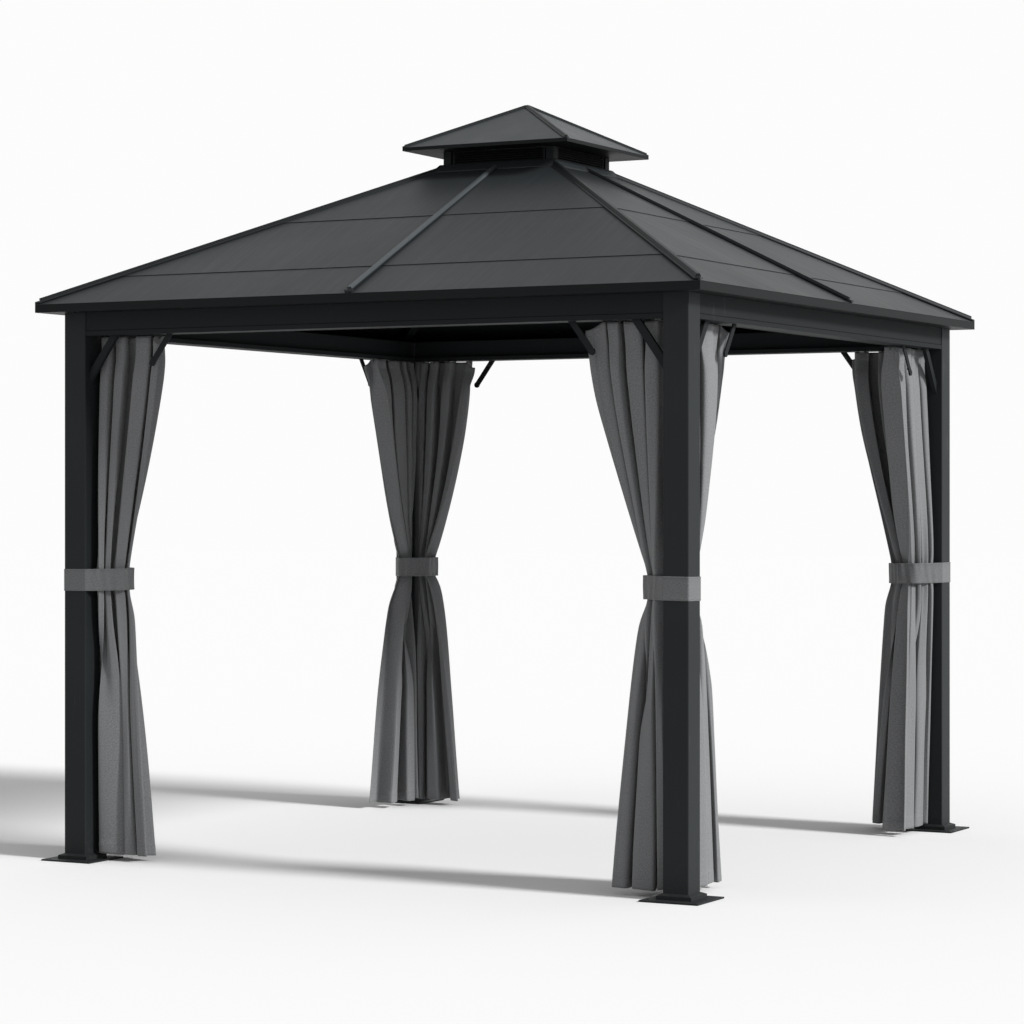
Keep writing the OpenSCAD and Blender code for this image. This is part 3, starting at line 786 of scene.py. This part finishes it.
def tie_band(corner, seed):
    """One band: a closed section carried round its line, with its ends lapped at the inner side."""
    rng = np.random.default_rng(seed)
    line, out = rounded_line(BAND_LINE, 0.004)
    start = int(np.abs(line - 0.199).sum(1).argmin())
    line, out = np.roll(line, -start, axis=0), np.roll(out, -start, axis=0)
    gaps = np.linalg.norm(np.roll(line, -1, axis=0) - line, axis=1)
    whole = gaps.sum()
    again = int(np.searchsorted(np.cumsum(gaps), BAND_LAP))
    line, out = np.concatenate([line, line[:again]]), np.concatenate([out, out[:again]])
    run = np.concatenate([[0], np.cumsum(np.linalg.norm(np.diff(line, axis=0), axis=1))])
    on_cloth = smooth(line.max(1), 0.115, 0.150)
    swell = on_cloth * 0.0010 * (1 + np.sin(run * 2 * pi / 0.043 + rng.uniform(0, 6)))
    lift = 0.0014 + 0.0028 * smooth(run, whole - 0.030, whole - 0.004) + swell
    sag = 0.0016 * np.sin(run * 2 * pi / whole + rng.uniform(0, 6))
    heights, thick = np.array([(-share, half) for share, half in BAND_SECTION[:0:-1]] + [*BAND_SECTION]).T
    up = np.concatenate([heights, heights[::-1]])
    face = np.concatenate([thick, -thick[::-1]])
    flutter = 0.0007 * np.sin(run[:, None] * 2 * pi / 0.031 + 2.5 * up) * on_cloth[:, None]
    ab = line[:, None, :] + out[:, None, :] * (lift[:, None] + face + flutter)[..., None]
    rise = up * (BAND_W / 2 - BAND_EDGE)
    z = (BAND_LOW + BAND_HIGH) / 2 + rise + sag[:, None]
    place = at_corner(corner, ab[..., 0], ab[..., 1], z)
    rows, columns = z.shape
    at = np.arange(rows * columns).reshape(rows, columns)
    beside = np.roll(at, -1, axis=1)
    quads = np.stack([at[:-1], at[1:], beside[1:], beside[:-1]], axis=-1).reshape(-1, 4)
    faces = [*quads, at[0], at[-1][::-1]]
    if corner in ("front_right", "back_left"):
        faces = [f[::-1] for f in faces]
    piece = new_piece("band_" + corner, place.reshape(-1, 3), faces, band_cloth)
    piece.data.set_sharp_from_angle(angle=radians(60))
    flat = np.stack([run[:, None] + 0 * z, BAND_W / 2 + rise + 0 * z, 0 * z], axis=-1)
    lay_out(piece, flat.reshape(-1, 3))
    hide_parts("tie_band_" + corner)


band_cloth = woven(
    Finish("tie_band_polyester", Roughness=0.9, Sheen_Weight=0.25, Sheen_Roughness=0.45),
    0.128,
    ((0.005, 0.042, 0.762, 0.803), (0.0078, BAND_W - 0.0078)),
)
for seed, corner in enumerate(CORNERS):
    tie_band(corner, seed + 3)

# ---- Brace bolts ----
# Black hexagon bolts with flanged heads hold both ends of every knee brace and curtain arm to lugs
# inside the post and the track.

BOLT_FLANGE = ((0.0068, 0.0), (0.0068, 0.0012), (0.0050, 0.0016))
BOLT_HEAD = ((0.0050, 0.0016), (0.0050, 0.0052), (0.0043, 0.0058))
# Each bolt: how far it is along its side, its height, and how far in the brace's or arm's outer face lies.
BOLTS = ((0.118, 1.9995, 0.0440), (0.217, 2.1420, 0.0440), (0.4275, 2.0600, 0.0390), (0.4850, 2.1380, 0.0380))
bolts = Turnings()
for corner, (sx, sy) in CORNERS.items():
    for turned in (False, True):
        ahead = Vector((-sx, 0, 0)) if turned else Vector((0, -sy, 0))
        for run, z, face in BOLTS:
            spot = at_corner(corner, face, run, z) if turned else at_corner(corner, run, face, z)
            place = Matrix.Translation(spot) @ ahead.to_track_quat("Z", "Y").to_matrix().to_4x4()
            bolts.turn(place, BOLT_FLANGE)
            bolts.turn(place, BOLT_HEAD, 6)
bolts.piece("brace_bolts", nylon, "frame_coat")

# ---- Studio ----
# A wide pale floor under an even sky, and one broad lamp from the right at the height of a low sun.

FLOOR_HALF = 60.0
# How light each looks, and how much light each gives the object.
FLOOR_SEEN, FLOOR_LIGHT = 0.98, 0.66
SKY_SEEN, SKY_LIGHT = 0.975, 0.43

floor_mesh = bpy.data.meshes.new("floor")
floor_mesh.from_pydata(
    [(x * FLOOR_HALF, y * FLOOR_HALF, 0) for x, y in ((-1, -1), (1, -1), (1, 1), (-1, 1))], [], [(0, 1, 2, 3)]
)
floor = bpy.data.objects.new("floor", floor_mesh)
floor.location.z = -0.0005
bpy.context.scene.collection.objects.link(floor)


class Stage(Finish):
    """The nodes of the floor or the sky, which look lighter than the light that they give."""

    def __init__(self, tree):
        self.tree = tree
        eye, gloss, through = (
            self.node("ShaderNodeLightPath", output=f"Is {kind} Ray")
            for kind in ("Camera", "Glossy", "Transmission")
        )
        self.seen = eye.larger(gloss).larger(through)


ground = bpy.data.materials.new("floor")
ground.use_nodes = True
stage = Stage(ground.node_tree)
stage.tree.nodes.remove(stage.tree.nodes["Principled BSDF"])
lit = stage.node("ShaderNodeBsdfDiffuse", None, grey(FLOOR_SEEN))
dull = stage.node("ShaderNodeBsdfDiffuse", None, grey(FLOOR_LIGHT))
shown = stage.node("ShaderNodeMixShader", None, stage.seen, dull, lit)
stage.tree.links.new(shown.socket, stage.tree.nodes["Material Output"].inputs["Surface"])
floor_mesh.materials.append(ground)

world = bpy.data.worlds.new("studio")
world.use_nodes = True
bpy.context.scene.world = world
stage = Stage(world.node_tree)
sky = stage.tree.nodes["Background"]
sky.inputs["Color"].default_value = grey(1.0)
strength = stage.node("ShaderNodeMapRange", None, stage.seen, 0.0, 1.0, SKY_LIGHT, SKY_SEEN)
stage.tree.links.new(strength.socket, sky.inputs["Strength"])

lamp = bpy.data.lights.new("key", "SUN")
lamp.energy = 3.7
lamp.angle = radians(11)
key = bpy.data.objects.new("key", lamp)
key.rotation_euler = Vector((1.0, -0.06, 0.55)).to_track_quat("Z", "Y").to_euler()
bpy.context.scene.collection.objects.link(key)

bpy.context.scene.view_settings.view_transform = "Standard"
